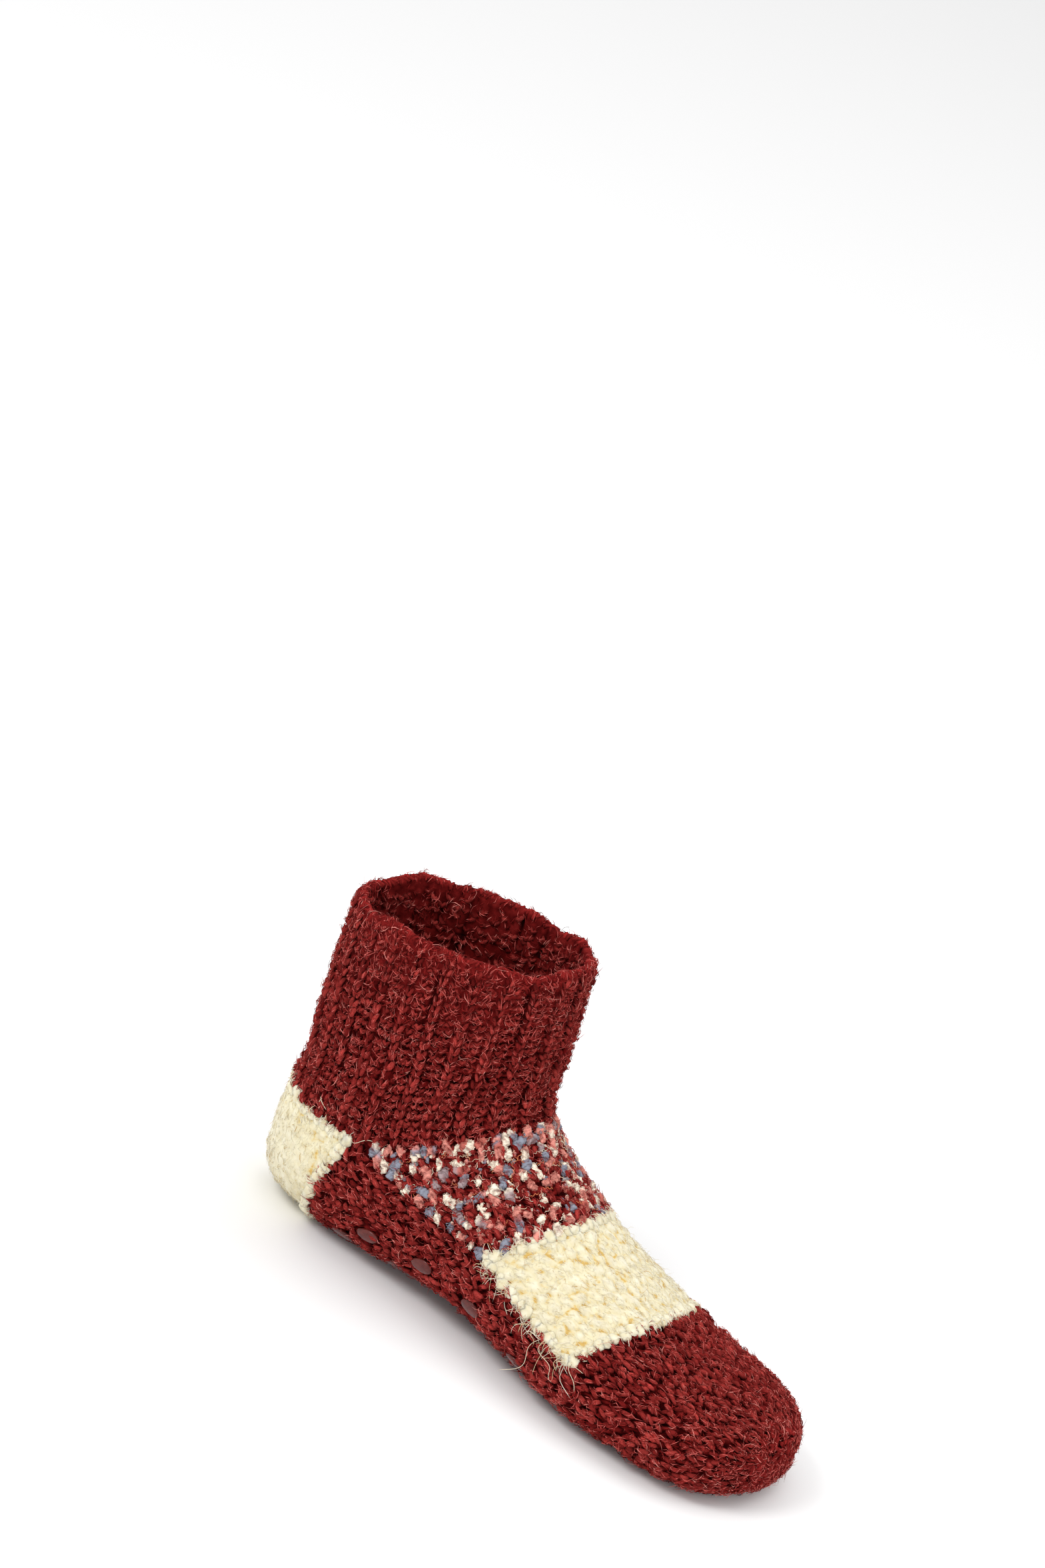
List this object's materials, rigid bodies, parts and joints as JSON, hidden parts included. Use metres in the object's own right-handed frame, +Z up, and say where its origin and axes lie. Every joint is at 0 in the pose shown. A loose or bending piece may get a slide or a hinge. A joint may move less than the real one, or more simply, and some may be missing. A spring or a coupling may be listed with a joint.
{
  "type": "slipper sock",
  "caption": "Hollow ankle-high slipper sock in chunky ribbed red knit, with a looped cream heel, a speckled and a cream band over the instep, and oval silicone grips under the sole.",
  "frame": {"origin": "middle of the bounding box at floor level, under the sole", "axes": "+X from heel to toe, +Y to one side, +Z up the leg; the sock is alike on both sides of the XZ plane"},
  "size_m": [0.2536, 0.0962, 0.1443],
  "materials": {
    "red_knit": "soft chunky ribbed knit, wine red, brushed and fuzzy",
    "cream_boucle": "fluffy looped cream yarn with golden shadows",
    "speckled_yarn": "wine red knit with pink, slate blue and cream nubs",
    "clear_silicone": "glossy clear silicone that shows the red knit behind it"
  },
  "bodies": {
    "root": {"knit_body": "red_knit", "heel_cup": "cream_boucle", "speckled_band": "speckled_yarn", "cream_band": "cream_boucle", "grip_0_1": "clear_silicone", "grip_0_2": "clear_silicone", "grip_0_3": "clear_silicone", "grip_0_4": "clear_silicone", "grip_0_5": "clear_silicone", "grip_0_6": "clear_silicone", "grip_0_7": "clear_silicone", "grip_left_1_1": "clear_silicone", "grip_left_1_2": "clear_silicone", "grip_left_1_3": "clear_silicone", "grip_left_1_4": "clear_silicone", "grip_left_1_5": "clear_silicone", "grip_left_1_6": "clear_silicone", "grip_left_2_1": "clear_silicone", "grip_left_2_2": "clear_silicone", "grip_left_2_3": "clear_silicone", "grip_left_2_4": "clear_silicone", "grip_left_2_5": "clear_silicone", "grip_left_2_6": "clear_silicone", "grip_left_2_7": "clear_silicone", "grip_left_3_1": "clear_silicone", "grip_left_3_2": "clear_silicone", "grip_left_3_3": "clear_silicone", "grip_left_3_4": "clear_silicone", "grip_left_3_5": "clear_silicone", "grip_left_3_6": "clear_silicone", "grip_right_1_1": "clear_silicone", "grip_right_1_2": "clear_silicone", "grip_right_1_3": "clear_silicone", "grip_right_1_4": "clear_silicone", "grip_right_1_5": "clear_silicone", "grip_right_1_6": "clear_silicone", "grip_right_2_1": "clear_silicone", "grip_right_2_2": "clear_silicone", "grip_right_2_3": "clear_silicone", "grip_right_2_4": "clear_silicone", "grip_right_2_5": "clear_silicone", "grip_right_2_6": "clear_silicone", "grip_right_2_7": "clear_silicone", "grip_right_3_1": "clear_silicone", "grip_right_3_2": "clear_silicone", "grip_right_3_3": "clear_silicone", "grip_right_3_4": "clear_silicone", "grip_right_3_5": "clear_silicone", "grip_right_3_6": "clear_silicone"}
  },
  "joints": []
}
